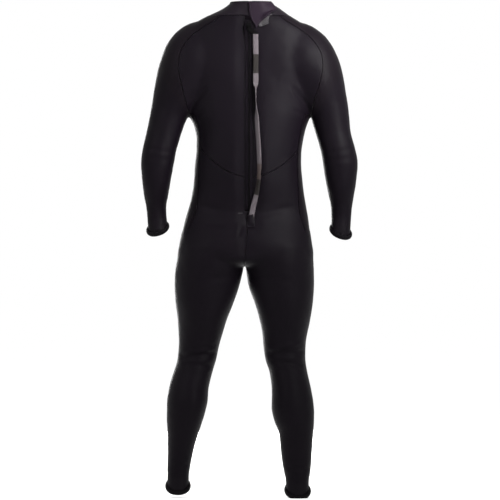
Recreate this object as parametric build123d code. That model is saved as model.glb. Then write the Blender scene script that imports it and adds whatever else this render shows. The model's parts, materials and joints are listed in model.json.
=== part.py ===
"""Full wetsuit with a back zip, as worn, in millimetres.

+Z is up and -Y is the wearer's front, so +X is the wearer's left. The origin is the centre of the neck
opening, at the collar's rim. Heights are given as a drop, the distance below that rim.
Every neoprene panel is a separate solid that meets its neighbours face to face, as glued panels do.
"""

import os
from math import cos, pi, radians, sin, sqrt, tan

from build123d import *

# Driving dimensions, all in millimetres.
NEOPRENE = 3.0
NECK_RADIUS = 60.0
COLLAR_DROP = 42.0
ARMPIT_DROP = 340.0
HIP_DROP = 690.0
THIGH_DROP = 850.0
KNEE_TOP_DROP = 995.0
KNEE_BOTTOM_DROP = 1165.0
ELBOW_TOP_DROP = 392.0
ELBOW_BOTTOM_DROP = 540.0
CROTCH = (20.0, 800.0)
WRIST_RADIUS = 29.0
ANKLE_RADIUS = 34.0
SIDE_Y = -17.0
LEG_SEAM_Y = -10.0
FAR = 600.0

# The back zip follows one arc down the spine, so that its slider can run the whole way.
ZIP_ARC_RADIUS = 1800.0
ZIP_APEX_DROP = 340.0
ZIP_APEX_Y = 97.0
ZIP_CENTRE_Y = ZIP_APEX_Y - ZIP_ARC_RADIUS
ZIP_X = 6.0
ZIP_TOP_DROP = 60.0
ZIP_BOTTOM_DROP = 626.0
ZIP_HALF_SLOT = 13.0
TAPE_HALF_THICKNESS = 0.5
TEETH_GAP = 0.8
TEETH_WIDTH = 2.4
TEETH_HALF_THICKNESS = 1.4
STOP_LENGTH = 4.0
SLIDER_TOP_DROP = 66.0
SLIDER_BOTTOM_DROP = 83.0
SLIDER_HALF_WIDTH = 6.0
SLIDER_CLEARANCE = 0.3
SLIDER_PLATE = 1.3
PIN_DROP = 76.0
PIN_HEIGHT = 5.0
PIN_RADIUS = 1.0
PIN_CLEARANCE = 0.08
LUG_HALF_WIDTH = 1.5
PULLER_PLATE = (4.2, 5.6)
PULLER_OUTLINE = [(4, 80), (-4, 80), (-27, 95), (-27, 100), (-12, 100), (-2, 92), (4, 88)]
PULLER_SLOT = [(-24, 94.5), (-15, 94.5), (-15, 97), (-24, 97)]
FLAP_GAP = 1.2
FLAP_THICKNESS = 1.6
FLAP_HALF_WIDTH = 32.0
KEEPER_DROPS = (634.0, 668.0)
KEEPER_HALF_WIDTH = 14.0

# The pull strap: flat webbing from the puller down to the keeper, through these (x, y, drop) points.
STRAP_WIDTH = 16.0
STRAP_THICKNESS = 1.6
STRAP_ROUTE = [
    (-13.5, 85.5, 100),
    (-14.6, 92.0, 140),
    (-14.0, 99.0, 215),
    (-14.5, 103.5, 300),
    (-18.0, 104.5, 370),
    (-23.5, 102.5, 445),
    (-25.0, 97.5, 515),
    (-18.0, 90.5, 575),
    (-5.0, 86.0, 622),
    (0.0, 90.0, 655),
]

# The collar's closing tab is hooked over the right collar and swings open about its left edge.
COLLAR_SLIT = (0.0, 6.0)
TAB_OUTLINE = [(3, 3), (-58, 4), (-57, 26), (-51, 44), (-51, 75), (-15, 82), (-9, 68), (3, 50)]
TAB_LOOP_OUTLINE = [(-14, 6), (-50, 6), (-48, 36), (-14, 36)]
TAB_HOOK_OUTLINE = [(-18, 9), (-46, 9), (-44, 33), (-18, 33)]
LOOP_LAYER = (0.0, 1.0)
HOOK_LAYER = (1.4, 2.4)
TAB_LAYER = (2.4, 4.8)


# The centre-back seam leans from the foot of the zip to the crotch.
CENTRE_AT_HIP = ZIP_X + (CROTCH[0] - ZIP_X) * (HIP_DROP - 640) / (CROTCH[1] - 640)


def zip_y(drop):
    """Where the outer face of the centre back lies at that drop."""
    return ZIP_CENTRE_Y + sqrt(ZIP_ARC_RADIUS**2 - (drop - ZIP_APEX_DROP) ** 2)


# Collar and torso rings: drop, right x, left x, front y, back y.
COLLAR = [
    (0, -NECK_RADIUS, NECK_RADIUS, -NECK_RADIUS, NECK_RADIUS),
    (20, -86, 84, -62, 63),
    (COLLAR_DROP, -114, 124, -66, zip_y(COLLAR_DROP) - 3),
]
TORSO = [
    COLLAR[-1],
    (62, -146, 164, -76, zip_y(62)),
    (85, -178, 190, -88, zip_y(85)),
    (130, -184, 190, -106, zip_y(130)),
    (200, -186, 192, -126, zip_y(200)),
    (270, -184, 190, -134, zip_y(270)),
    (335, -179, 186, -132, zip_y(335)),
    (372, -166, 170, -127, zip_y(372)),
    (411, -156, 163, -123, zip_y(411)),
    (450, -151, 163, -120, zip_y(450)),
    (486, -150, 168, -118, zip_y(486)),
    (546, -155, 172, -119, zip_y(546)),
    (600, -163, 182, -121, zip_y(600)),
    (626, -167, 189, -121, zip_y(626)),
    (660, -173, 199, -121, 86),
    (HIP_DROP, -177, 206, -120, 100),
]
PELVIS = [
    (HIP_DROP, -177, 206, -120, 100),
    (732, -183, 215, -113, 114),
    (777, -187, 222, -106, 110),
    (CROTCH[1], -186, 222, -100, 100),
]

# Sleeve rings: inner x, inner drop, outer x, outer drop, front y, back y. The first four fan round the armpit.
SHOULDER = {
    "left": [
        (187.5, 338, 127.5, 50, -87, 53),
        (189, 340, 212, 86, -86, 60),
        (190.5, 341.5, 256, 132, -80, 62),
        (192, 343, 280, 207, -72, 58),
    ],
    "right": [
        (-180.5, 338, -118.5, 54, -87, 53),
        (-182, 340, -205, 96, -86, 60),
        (-183.5, 341.5, -248, 142, -80, 62),
        (-185, 343, -273, 207, -72, 58),
    ],
}
UPPER_SLEEVE = {
    "left": [(198, 355, 300, 315, -65, 50), (211, ELBOW_TOP_DROP, 315, ELBOW_TOP_DROP, -57, 46)],
    "right": [(-186, 355, -292, 315, -65, 50), (-197, ELBOW_TOP_DROP, -301, ELBOW_TOP_DROP, -57, 46)],
}
ELBOW = {
    "left": [
        (227, 445, 327, 445, -48, 48),
        (234, 485, 329, 485, -52, 46),
        (244, ELBOW_BOTTOM_DROP, 328, ELBOW_BOTTOM_DROP, -57, 35),
    ],
    "right": [
        (-212, 445, -314, 445, -48, 48),
        (-219, 485, -320, 485, -52, 46),
        (-227, ELBOW_BOTTOM_DROP, -318, ELBOW_BOTTOM_DROP, -57, 35),
    ],
}
FOREARM = {
    "left": [(252, 575, 324, 575, -62, 20), (258, 620, 316, 620, -66, -2)],
    "right": [(-235, 575, -313, 575, -62, 20), (-243, 620, -307, 620, -66, -2)],
}
# Cuffs: centre x, centre y, drop at the top and drop at the hem.
WRIST = {"left": (282.5, -38, 655, 704), "right": (-271.5, -38, 660, 711)}
ANKLE = {"left": (221, -10, 1437, 1480), "right": (-141.5, -10, 1450, 1494)}

# Leg rings: drop, inner x, outer x, front y, back y.
HIP_JOINT = {
    "left": [
        (745, 8, 216, -110, 108),
        (CROTCH[1], 15, 225, -106, 102),
        (THIGH_DROP, 35, 229, -100, 92),
    ],
    "right": [
        (745, 32, -183, -110, 108),
        (CROTCH[1], 26, -189, -106, 102),
        (THIGH_DROP, 8, -189, -100, 92),
    ],
}
THIGH = {
    "left": [(897, 52, 227, -96, 82), (962, 77, 218, -89, 68), (KNEE_TOP_DROP, 87, 217, -85, 60)],
    "right": [(897, -9, -187, -96, 82), (962, -30, -176, -89, 68), (KNEE_TOP_DROP, -36, -168, -85, 60)],
}
KNEE = {
    "left": [
        (1040, 100, 217, -80, 50),
        (1080, 108, 221, -76, 46),
        (1120, 120, 233, -70, 52),
        (KNEE_BOTTOM_DROP, 130, 245, -63, 62),
    ],
    "right": [
        (1040, -42, -162, -80, 50),
        (1080, -46, -162, -76, 46),
        (1120, -59, -168, -70, 52),
        (KNEE_BOTTOM_DROP, -65, -180, -63, 62),
    ],
}
SHIN = {
    "left": [
        (1205, 133, 251, -58, 68),
        (1245, 142, 252, -54, 65),
        (1310, 164, 251, -50, 48),
        (1370, 179, 250, -47, 32),
    ],
    "right": [
        (1205, -63, -187, -58, 68),
        (1245, -68, -189, -54, 65),
        (1310, -88, -184, -50, 48),
        (1385, -98, -180, -47, 31),
    ],
}

RING_POINTS = 16
RING_START = radians(-56)
TORSO_POWER = 2.3
LIMB_POWER = 2.0


def ring(start, end, front, back, grow=0.0, power=LIMB_POWER):
    """A closed face whose width runs from start to end, both (x, drop), and whose depth runs from front to back."""
    along = Vector(end[0] - start[0], 0, start[1] - end[1])
    half_width = along.length / 2 + grow
    half_depth = (back - front) / 2 + grow
    middle = Vector((start[0] + end[0]) / 2, (front + back) / 2, -(start[1] + end[1]) / 2)
    across = along.normalized()
    points = []
    for i in range(RING_POINTS):
        angle = RING_START + 2 * pi * i / RING_POINTS
        c = abs(cos(angle)) ** (2 / power) * (1 if cos(angle) >= 0 else -1)
        s = abs(sin(angle)) ** (2 / power) * (1 if sin(angle) >= 0 else -1)
        points.append(middle + across * (half_width * c) + Vector(0, half_depth * s, 0))
    return Face(Wire([Edge.make_spline(points, periodic=True)]))


def level(rings):
    """Rings given at one drop, as (start, end, front, back)."""
    return [((a, drop), (b, drop), front, back) for drop, a, b, front, back in rings]


def slanted(rings):
    """Sleeve rings, as (start, end, front, back)."""
    return [((a, da), (b, db), front, back) for a, da, b, db, front, back in rings]


def body(rings, grow=0.0, power=LIMB_POWER):
    """The solid through the rings, made larger or smaller all round by grow."""
    return Solid(loft([ring(*r, grow=grow, power=power) for r in rings]).solid().wrapped)


def tube(rings, power=LIMB_POWER):
    """A neoprene tube through the rings, open at both ends."""
    return body(rings, power=power) - body(rings, grow=-NEOPRENE, power=power)


def block(x0, x1, y0, y1, drop0, drop1):
    """A box between two drops."""
    return Pos((x0 + x1) / 2, (y0 + y1) / 2, -(drop0 + drop1) / 2) * Box(x1 - x0, y1 - y0, drop1 - drop0)


def prism(points):
    """A region drawn in the rear view as (x, drop) corners, and cut right through from front to back."""
    outline = Polyline(*[(x, 0, -drop) for x, drop in points], close=True)
    return extrude(make_face(outline), amount=FAR, dir=(0, 1, 0), both=True)


def wedge(sign):
    """The region of a side panel, between the two planes of its seams."""
    reach = FAR * tan(radians(19))
    corners = [(5, SIDE_Y), (5 + sign * FAR, SIDE_Y - reach), (5 + sign * FAR, SIDE_Y + reach)]
    outline = Polyline(*[(x, y, -HIP_DROP) for x, y in corners], close=True)
    return extrude(make_face(outline), amount=HIP_DROP - ARMPIT_DROP + 2, dir=(0, 0, 1))


def arc_band(x0, x1, inner, outer, drop0, drop1):
    """A strip along the zip's arc, between two drops, from inner to outer beyond the arc's radius."""
    turn0 = (ZIP_APEX_DROP - drop0) / ZIP_ARC_RADIUS
    turn1 = (ZIP_APEX_DROP - drop1) / ZIP_ARC_RADIUS

    def at(radius, turn):
        return (x0, ZIP_CENTRE_Y + radius * cos(turn), -ZIP_APEX_DROP + radius * sin(turn))

    low, high = ZIP_ARC_RADIUS + inner, ZIP_ARC_RADIUS + outer
    middle = (turn0 + turn1) / 2
    outline = Wire([
        Edge.make_three_point_arc(at(low, turn0), at(low, middle), at(low, turn1)),
        Edge.make_line(at(low, turn1), at(high, turn1)),
        Edge.make_three_point_arc(at(high, turn1), at(high, middle), at(high, turn0)),
        Edge.make_line(at(high, turn0), at(low, turn0)),
    ])
    return extrude(Face(outline), amount=x1 - x0, dir=(1, 0, 0))


def cuff(x, y, top_drop, hem_drop, radius):
    """A round seal at the end of a limb."""
    length = hem_drop - top_drop
    place = Pos(x, y, -(top_drop + hem_drop) / 2)
    return place * (Cylinder(radius, length) - Cylinder(radius - NEOPRENE, length))


def cuff_ring(x, y, top_drop, hem_drop, radius, inner_first):
    """The limb ring that meets a cuff's top face."""
    reach = radius * inner_first
    return ((x - reach, top_drop), (x + reach, top_drop), y - radius, y + radius)


# ---------------------------------------------------------------------------------------------- panels


def waist_region():
    """Everything above the curved waist seam, which dips at the centre back."""
    seam = ThreePointArc((-FAR / 2, 0, -330), (3, 0, -528), (FAR / 2, 0, -330))
    top = Polyline(seam @ 1, (FAR / 2, 0, 10), (-FAR / 2, 0, 10), seam @ 0)
    return extrude(make_face([*seam.edges(), *top.edges()]), amount=FAR, dir=(0, 1, 0), both=True)


def torso_panels():
    rings = level(TORSO)
    shell = tube(rings, power=TORSO_POWER)
    for sleeve in SHOULDER.values():
        x_in, drop_in, x_out, drop_out = sleeve[0][:4]
        slope = (x_in - x_out) / (drop_in - drop_out)
        side = FAR if x_in > 0 else -FAR
        shell -= prism([
            (x_out - slope * drop_out, 0),
            (x_out + slope * (ARMPIT_DROP - drop_out), ARMPIT_DROP),
            (side, ARMPIT_DROP),
            (side, 0),
        ])
    shell -= block(ZIP_X - ZIP_HALF_SLOT, ZIP_X + ZIP_HALF_SLOT, 0, FAR, 0, ZIP_BOTTOM_DROP + 6)
    above = waist_region()
    left_wedge, right_wedge = wedge(1), wedge(-1)
    front = shell & block(-FAR, FAR, -FAR, SIDE_Y, 0, HIP_DROP)
    back = shell & block(-FAR, FAR, SIDE_Y, FAR, 0, HIP_DROP)
    front = front - left_wedge - right_wedge
    back = back - left_wedge - right_wedge
    left_half = prism([(ZIP_X, 0), (FAR, 0), (FAR, HIP_DROP), (CENTRE_AT_HIP, HIP_DROP), (ZIP_X, 640)])
    return {
        "front_chest_panel": front & above,
        "front_waist_panel": front - above,
        "left_side_panel": shell & left_wedge,
        "right_side_panel": shell & right_wedge,
        "left_back_panel": back & above & left_half,
        "right_back_panel": (back & above) - left_half,
        "left_lower_back_panel": (back - above) & left_half,
        "right_lower_back_panel": back - above - left_half,
    }


def pelvis_panels():
    """The seat and groin, which join the two legs at the crotch."""
    outside = body(level(PELVIS), power=TORSO_POWER)
    floor = (CROTCH[1] - NEOPRENE, *PELVIS[-1][1:])
    inside = body(level([*PELVIS[:-1], floor]), grow=-NEOPRENE, power=TORSO_POWER)
    for side in ("left", "right"):
        outside += body(level(HIP_JOINT[side]))
    for side in ("left", "right"):
        inside += body(level(HIP_JOINT[side]), grow=-NEOPRENE)
    shell = outside - inside
    left_half = prism([
        (CENTRE_AT_HIP, HIP_DROP),
        CROTCH,
        (CROTCH[0], THIGH_DROP),
        (FAR, THIGH_DROP),
        (FAR, HIP_DROP),
    ])
    rear = block(-FAR, FAR, LEG_SEAM_Y, FAR, HIP_DROP - 5, THIGH_DROP + 5)
    panels = {}
    for name, half in (("left", shell & left_half), ("right", shell - left_half)):
        panels[f"{name}_seat_panel"] = half & rear
        panels[f"{name}_groin_panel"] = half - rear
    return panels


def front_and_back(shell, front_name, back_name):
    """Splits a leg tube at its side seams."""
    rear = block(-FAR, FAR, LEG_SEAM_Y, FAR, HIP_DROP, 2 * HIP_DROP + FAR)
    return {front_name: shell - rear, back_name: shell & rear}


def limb_panels(side):
    shoulder = slanted(SHOULDER[side])
    upper = [shoulder[-1], *slanted(UPPER_SLEEVE[side])]
    elbow = [upper[-1], *slanted(ELBOW[side])]
    outward = 1 if side == "left" else -1
    forearm = [elbow[-1], *slanted(FOREARM[side]), cuff_ring(*WRIST[side], WRIST_RADIUS, outward)]
    thigh = level([HIP_JOINT[side][-1], *THIGH[side]])
    knee = [thigh[-1], *level(KNEE[side])]
    shin = [knee[-1], *level(SHIN[side]), cuff_ring(*ANKLE[side], ANKLE_RADIUS, outward)]
    return {
        f"{side}_shoulder_panel": tube(shoulder),
        f"{side}_upper_sleeve": tube(upper),
        f"{side}_elbow_panel": tube(elbow),
        f"{side}_forearm_sleeve": tube(forearm),
        f"{side}_wrist_cuff": cuff(*WRIST[side], WRIST_RADIUS),
        **front_and_back(tube(thigh), f"{side}_thigh_front_panel", f"{side}_thigh_back_panel"),
        **front_and_back(tube(knee), f"{side}_knee_pad", f"{side}_knee_back_panel"),
        **front_and_back(tube(shin), f"{side}_shin_panel", f"{side}_calf_panel"),
        f"{side}_ankle_cuff": cuff(*ANKLE[side], ANKLE_RADIUS),
    }


# ------------------------------------------------------------------------------ collar and its closing tab


def collar_layer(layer, outline):
    """A sheet that follows the outside of the collar and upper back, between two heights above it."""
    rings = level([*COLLAR, *TORSO[1:4]])
    low, high = layer
    sheet = body(rings, grow=high, power=TORSO_POWER) - body(rings, grow=low, power=TORSO_POWER)
    return sheet & block(-FAR, FAR, 0, FAR, -5, FAR) & prism(outline)


def collar_parts():
    start, end = COLLAR_SLIT
    slit = block(start, end, 0, FAR, -5, COLLAR_DROP + 5)
    band = tube(level(COLLAR), power=TORSO_POWER) - slit
    return {
        "collar_band": band,
        "collar_loop_patch": collar_layer(LOOP_LAYER, TAB_LOOP_OUTLINE) - band,
        "tab_hook_patch": collar_layer(HOOK_LAYER, TAB_HOOK_OUTLINE),
        "collar_tab": collar_layer(TAB_LAYER, TAB_OUTLINE),
    }


# ------------------------------------------------------------------------------------------------- the zip


def zip_chain():
    """The two tapes with their teeth, and the stops at both ends."""
    teeth_edge = TEETH_GAP + TEETH_WIDTH
    bottom = ZIP_BOTTOM_DROP - STOP_LENGTH
    parts = {}
    for name, sign in (("left", 1), ("right", -1)):
        across = sorted([sign * teeth_edge, sign * ZIP_HALF_SLOT])
        parts[f"{name}_zip_tape"] = arc_band(
            *across, -TAPE_HALF_THICKNESS, TAPE_HALF_THICKNESS, ZIP_TOP_DROP, ZIP_BOTTOM_DROP
        )
        across = sorted([sign * TEETH_GAP, sign * teeth_edge])
        parts[f"{name}_zip_teeth"] = arc_band(
            *across, -TEETH_HALF_THICKNESS, TEETH_HALF_THICKNESS, ZIP_TOP_DROP + STOP_LENGTH, bottom
        )
        parts[f"{name}_top_stop"] = arc_band(
            *across, -TEETH_HALF_THICKNESS, TEETH_HALF_THICKNESS, ZIP_TOP_DROP, ZIP_TOP_DROP + STOP_LENGTH
        )
    parts["zip_bottom_stop"] = arc_band(
        -teeth_edge, teeth_edge, -TEETH_HALF_THICKNESS, TEETH_HALF_THICKNESS, bottom, ZIP_BOTTOM_DROP
    )
    return {name: Pos(ZIP_X, 0, 0) * part for name, part in parts.items()}


def pin_place():
    """The puller's pin, above the slider, as (y, z)."""
    turn = (ZIP_APEX_DROP - PIN_DROP) / ZIP_ARC_RADIUS
    radius = ZIP_ARC_RADIUS + PIN_HEIGHT
    return ZIP_CENTRE_Y + radius * cos(turn), -ZIP_APEX_DROP + radius * sin(turn)


def cross_pin(radius, half_width):
    y, z = pin_place()
    return Pos(0, y, z) * Rot(0, 90, 0) * Cylinder(radius, 2 * half_width)


def zip_slider():
    """Two plates that clasp the teeth, joined by the post that parts them, with a lug for the puller."""
    inner = TEETH_HALF_THICKNESS + SLIDER_CLEARANCE
    outer = inner + SLIDER_PLATE
    half = SLIDER_HALF_WIDTH
    ends = (SLIDER_TOP_DROP, SLIDER_BOTTOM_DROP)
    top = arc_band(-half, half, inner, outer, *ends)
    bottom = arc_band(-half, half, -outer, -inner, *ends)
    post_half = TEETH_GAP - SLIDER_CLEARANCE
    post = arc_band(-post_half, post_half, -inner, inner, SLIDER_TOP_DROP + 2, SLIDER_TOP_DROP + 9)
    lug = arc_band(-LUG_HALF_WIDTH, LUG_HALF_WIDTH, outer, PIN_HEIGHT + 2.5, PIN_DROP - 4, PIN_DROP + 2.5)
    slider = top + bottom + post + lug - cross_pin(PIN_RADIUS + PIN_CLEARANCE, LUG_HALF_WIDTH + 1)
    return Pos(ZIP_X, 0, 0) * slider


def zip_puller():
    """A forked plate on a pin, hanging to the right of the slider, with a slot for the strap."""
    low, high = PULLER_PLATE
    plate = arc_band(-28, 5, low, high, PIN_DROP, 105) & prism(PULLER_OUTLINE)
    plate -= prism(PULLER_SLOT)
    ear_start = LUG_HALF_WIDTH + SLIDER_CLEARANCE
    for side in (-1, 1):
        across = sorted([side * ear_start, side * 4])
        plate += arc_band(*across, low, high, PIN_DROP - 1.5, 81)
    return Pos(ZIP_X, 0, 0) * (plate + cross_pin(PIN_RADIUS, 4))


def smooth_path(points):
    """Straight runs through the points, with each corner rounded as far as its two runs allow."""
    corners = [Vector(*p) for p in points]
    radii = []
    for before, here, after in zip(corners, corners[1:], corners[2:]):
        turn = (here - before).get_angle(after - here)
        shorter = min((here - before).length, (after - here).length)
        radii.append(0.45 * shorter / tan(radians(turn) / 2))
    print("strap bend radii", [round(r) for r in radii])
    return FilletPolyline(*corners, radius=radii)


def pull_strap():
    """Flat webbing: its side view, a strip along the path, cut to its rear view."""
    inner = smooth_path([(0, y, -drop) for x, y, drop in STRAP_ROUTE])
    outer = smooth_path([(0, y + STRAP_THICKNESS, -drop) for x, y, drop in STRAP_ROUTE])
    ends = [Line(inner @ 0, outer @ 0), Line(inner @ 1, outer @ 1)]
    side_view = make_face([*inner.edges(), *outer.edges(), *ends[0].edges(), *ends[1].edges()])
    half = STRAP_WIDTH / 2
    left = Spline(*[(x + half, 0, -drop) for x, y, drop in STRAP_ROUTE])
    right = Spline(*[(x - half, 0, -drop) for x, y, drop in STRAP_ROUTE])
    ends = [Line(left @ 0, right @ 0), Line(left @ 1, right @ 1)]
    rear_view = make_face([*left.edges(), *right.edges(), *ends[0].edges(), *ends[1].edges()])
    strip = extrude(side_view, amount=FAR, dir=(1, 0, 0), both=True)
    strap = strip & extrude(rear_view, amount=FAR, dir=(0, 1, 0), both=True)
    print("strap length", round(inner.length), "volume", round(strap.volume))
    return strap


def zip_parts():
    rings = level(TORSO)
    high = -NEOPRENE - FLAP_GAP
    flap = body(rings, grow=high, power=TORSO_POWER) - body(rings, grow=high - FLAP_THICKNESS, power=TORSO_POWER)
    flap_sides = (ZIP_X - FLAP_HALF_WIDTH, ZIP_X + FLAP_HALF_WIDTH)
    keeper = body(rings, grow=1.2, power=TORSO_POWER) - body(rings, power=TORSO_POWER)
    return {
        **zip_chain(),
        "zip_inner_flap": flap & block(*flap_sides, 0, FAR, ZIP_TOP_DROP - 8, 645),
        "strap_keeper_patch": keeper & block(-KEEPER_HALF_WIDTH, KEEPER_HALF_WIDTH, 0, FAR, *KEEPER_DROPS),
        "zip_slider": zip_slider(),
        "zip_puller": zip_puller(),
        "pull_strap": pull_strap(),
    }


def main():
    parts = {
        **torso_panels(),
        **pelvis_panels(),
        **limb_panels("left"),
        **limb_panels("right"),
        **collar_parts(),
        **zip_parts(),
    }
    os.makedirs("parts", exist_ok=True)
    for name, shape in parts.items():
        export_step(shape, f"parts/{name}.step")
        print(name, len(shape.solids()), round(sum(s.volume for s in shape.solids())))


main()
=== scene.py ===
"""Looks of the full wetsuit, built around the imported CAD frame. Lengths are in metres.

-Y is the wearer's front and +X the wearer's left. A drop is a distance below the collar's rim, so z = -drop.
"""

import json
import math

import bmesh
import bpy
import numpy as np
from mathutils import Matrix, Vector, noise
from mathutils.bvhtree import BVHTree


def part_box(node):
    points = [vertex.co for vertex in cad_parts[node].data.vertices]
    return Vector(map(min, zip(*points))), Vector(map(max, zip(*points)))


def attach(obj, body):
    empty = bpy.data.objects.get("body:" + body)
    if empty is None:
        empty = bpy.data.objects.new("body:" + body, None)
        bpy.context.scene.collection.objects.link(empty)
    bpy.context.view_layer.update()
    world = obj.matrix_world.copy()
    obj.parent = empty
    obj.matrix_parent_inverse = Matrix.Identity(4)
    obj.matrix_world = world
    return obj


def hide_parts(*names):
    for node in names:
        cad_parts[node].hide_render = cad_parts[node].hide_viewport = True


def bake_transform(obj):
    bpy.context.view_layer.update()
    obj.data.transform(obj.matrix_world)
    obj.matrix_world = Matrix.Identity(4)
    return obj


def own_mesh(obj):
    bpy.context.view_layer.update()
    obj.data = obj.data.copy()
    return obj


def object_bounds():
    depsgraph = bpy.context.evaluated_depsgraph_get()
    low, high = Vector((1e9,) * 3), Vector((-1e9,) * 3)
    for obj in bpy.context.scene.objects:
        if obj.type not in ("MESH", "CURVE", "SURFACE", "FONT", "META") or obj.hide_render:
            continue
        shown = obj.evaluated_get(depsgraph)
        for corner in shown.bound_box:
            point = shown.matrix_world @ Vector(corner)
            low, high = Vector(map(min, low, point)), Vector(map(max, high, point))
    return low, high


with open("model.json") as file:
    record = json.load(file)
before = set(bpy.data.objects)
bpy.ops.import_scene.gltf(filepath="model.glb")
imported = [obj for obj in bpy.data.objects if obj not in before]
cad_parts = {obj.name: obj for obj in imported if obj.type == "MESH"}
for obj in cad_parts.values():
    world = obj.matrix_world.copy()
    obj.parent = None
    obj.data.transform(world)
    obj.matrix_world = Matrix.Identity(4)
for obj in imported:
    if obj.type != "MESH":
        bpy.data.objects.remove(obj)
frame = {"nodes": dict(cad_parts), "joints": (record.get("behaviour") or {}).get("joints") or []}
cad_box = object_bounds()

MM = 0.001
NEOPRENE = 0.003
VOXEL = 0.005
SKIN_GROWTH = 0.0022
RING_SIDES = 56
RING_STEP = 0.008
TORSO_POWER = 2.3
LIMB_POWER = 2.0
SKIN_SOFTENING = 14
VALLEY_SOFTENING = 60
SEAM_DEPTH = 0.0005
STITCH_RADIUS = 0.0009
BEAD_SIDES = 6
HEM_SIDES = 10
TOOTH_PITCH = 0.0036

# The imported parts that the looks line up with.
COLLAR_DROP = -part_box("collar_band")[0][2]
HIP_DROP = -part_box("left_lower_back_panel")[0][2]
THIGH_DROP = -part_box("left_seat_panel")[0][2]
KNEE_TOP_DROP = -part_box("left_knee_pad")[1][2]
KNEE_BOTTOM_DROP = -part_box("left_knee_pad")[0][2]
ELBOW_TOP_DROP = -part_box("left_elbow_panel")[1][2]
ELBOW_BOTTOM_DROP = -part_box("left_elbow_panel")[0][2]
ZIP_TOP_DROP = -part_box("left_zip_tape")[1][2]
ZIP_BOTTOM_DROP = -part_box("left_zip_tape")[0][2]
SLOT_END_DROP = ZIP_BOTTOM_DROP + 0.006
LEG_SEAM_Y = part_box("left_calf_panel")[0][1]

# The zip's arc down the spine, from the joint that carries the slider.
ZIP_JOINT = next(j for j in frame["joints"] if j["name"] == "zip_slide")
ZIP_CENTRE = Vector(ZIP_JOINT["pos_m"])
ZIP_RADIUS = 1.8
ZIP_X = ZIP_CENTRE.x
ZIP_HALF_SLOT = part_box("left_zip_tape")[1][0] - ZIP_X
SLOT_SIDES = (ZIP_X - ZIP_HALF_SLOT, ZIP_X + ZIP_HALF_SLOT)

# Places as x and drop: the crotch, and the armpit's end of the line between shoulder panel and upper sleeve.
CROTCH = (0.020, 0.800)
SLEEVE_LINE = (0.190, 0.343)
SLEEVE_LINE_SLOPE = 1.5
COLLAR_SLIT = (0.0, 0.006)
# The waist seam's arch over the small of the back, and where the centre seam starts to lean to the crotch.
WAIST_X = 0.003
WAIST_DROP = 0.528
WAIST_CURVE = 3.9
LEAN_DROP = 0.640
SIDE_Y = -0.017
SIDE_SPREAD = math.tan(math.radians(19))


def mm(rows):
    """Rows of millimetres as metres."""
    return [tuple(v * MM for v in row) for row in rows]


# Torso rings: drop, right x, left x, front y, back y.
TORSO = mm([
    (-14, -58, 58, -58, 58),
    (0, -60, 60, -60, 60),
    (20, -87, 85, -62, 63),
    (42, -117, 131, -66, 69),
    (62, -150, 166, -76, 75),
    (85, -176, 188, -88, 79),
    (130, -184, 190, -106, 85),
    (200, -186, 192, -126, 91.5),
    (270, -184, 190, -134, 95.5),
    (335, -179, 186, -132, 97),
    (372, -166, 170, -127, 96.8),
    (411, -156, 163, -123, 95.6),
    (450, -151, 163, -120, 93.6),
    (486, -150, 168, -118, 91),
    (546, -155, 172, -119, 85),
    (600, -163, 182, -121, 78.3),
    (626, -167, 189, -121, 75.5),
    (660, -173, 199, -121, 86),
    (690, -177, 206, -120, 100),
    (732, -183, 215, -113, 115),
    (762, -187, 220, -106, 113),
    (782, -184, 218, -88, 92),
    (792, -168, 200, -60, 62),
])

# Arm and leg rings: inner x, inner drop, outer x, outer drop, front y, back y.
LEFT_ARM = mm([
    (180, 330, 100, 60, -80, 66),
    (187, 338, 160, 58, -87, 74),
    (189, 340, 219, 84, -86, 77),
    (190.5, 341.5, 256, 132, -80, 74),
    (192, 343, 281, 207, -72, 64),
    (198, 355, 300, 315, -65, 50),
    (211, 392, 315, 392, -57, 46),
    (227, 445, 327, 445, -48, 48),
    (234, 485, 331, 485, -52, 46),
    (246, 540, 327, 540, -57, 35),
    (252, 575, 324, 575, -62, 20),
    (259, 620, 316, 620, -66, -2),
    (256, 655, 313, 655, -66, -9),
    (253, 680, 311, 686, -67, -9),
    (250, 698, 310, 706, -68, -8),
    (248, 716, 308, 726, -68, -8),
])
RIGHT_ARM = mm([
    (-172, 330, -95, 62, -80, 66),
    (-180, 338, -150, 62, -87, 74),
    (-182, 340, -211, 91, -86, 77),
    (-183.5, 341.5, -250, 142, -80, 74),
    (-185, 343, -274, 207, -72, 64),
    (-186, 355, -292, 315, -65, 50),
    (-197, 392, -301, 392, -57, 46),
    (-212, 445, -314, 445, -48, 48),
    (-219, 485, -321, 485, -52, 46),
    (-228, 540, -317, 540, -57, 35),
    (-236, 575, -312, 575, -62, 20),
    (-245, 620, -305, 620, -66, -2),
    (-246, 655, -302, 655, -66, -9),
    (-243, 688, -300, 680, -67, -9),
    (-238, 708, -300, 702, -68, -8),
    (-236, 730, -299, 724, -68, -8),
])
LEFT_LEG = mm([
    (10, 735, 214, 735, -104, 104),
    (20, 785, 223, 785, -104, 104),
    (28, 820, 228, 820, -102, 98),
    (36, 850, 229, 850, -100, 92),
    (52, 897, 227, 897, -96, 84),
    (77, 962, 218, 962, -89, 70),
    (87, 995, 217, 995, -85, 60),
    (97, 1030, 216, 1030, -81, 52),
    (108, 1080, 220, 1080, -76, 44),
    (119, 1114, 231, 1114, -71, 50),
    (130, 1165, 245, 1165, -63, 62),
    (133, 1205, 251, 1205, -58, 69),
    (142, 1245, 252, 1245, -54, 65),
    (164, 1310, 251, 1310, -50, 48),
    (178, 1358, 250, 1358, -47, 34),
    (188, 1414, 251, 1414, -44, 23),
    (190, 1444, 252, 1444, -43, 22),
    (188, 1470, 254, 1466, -45, 24),
    (187, 1484, 256, 1478, -46, 25),
    (186, 1500, 257, 1494, -46, 25),
])
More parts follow.
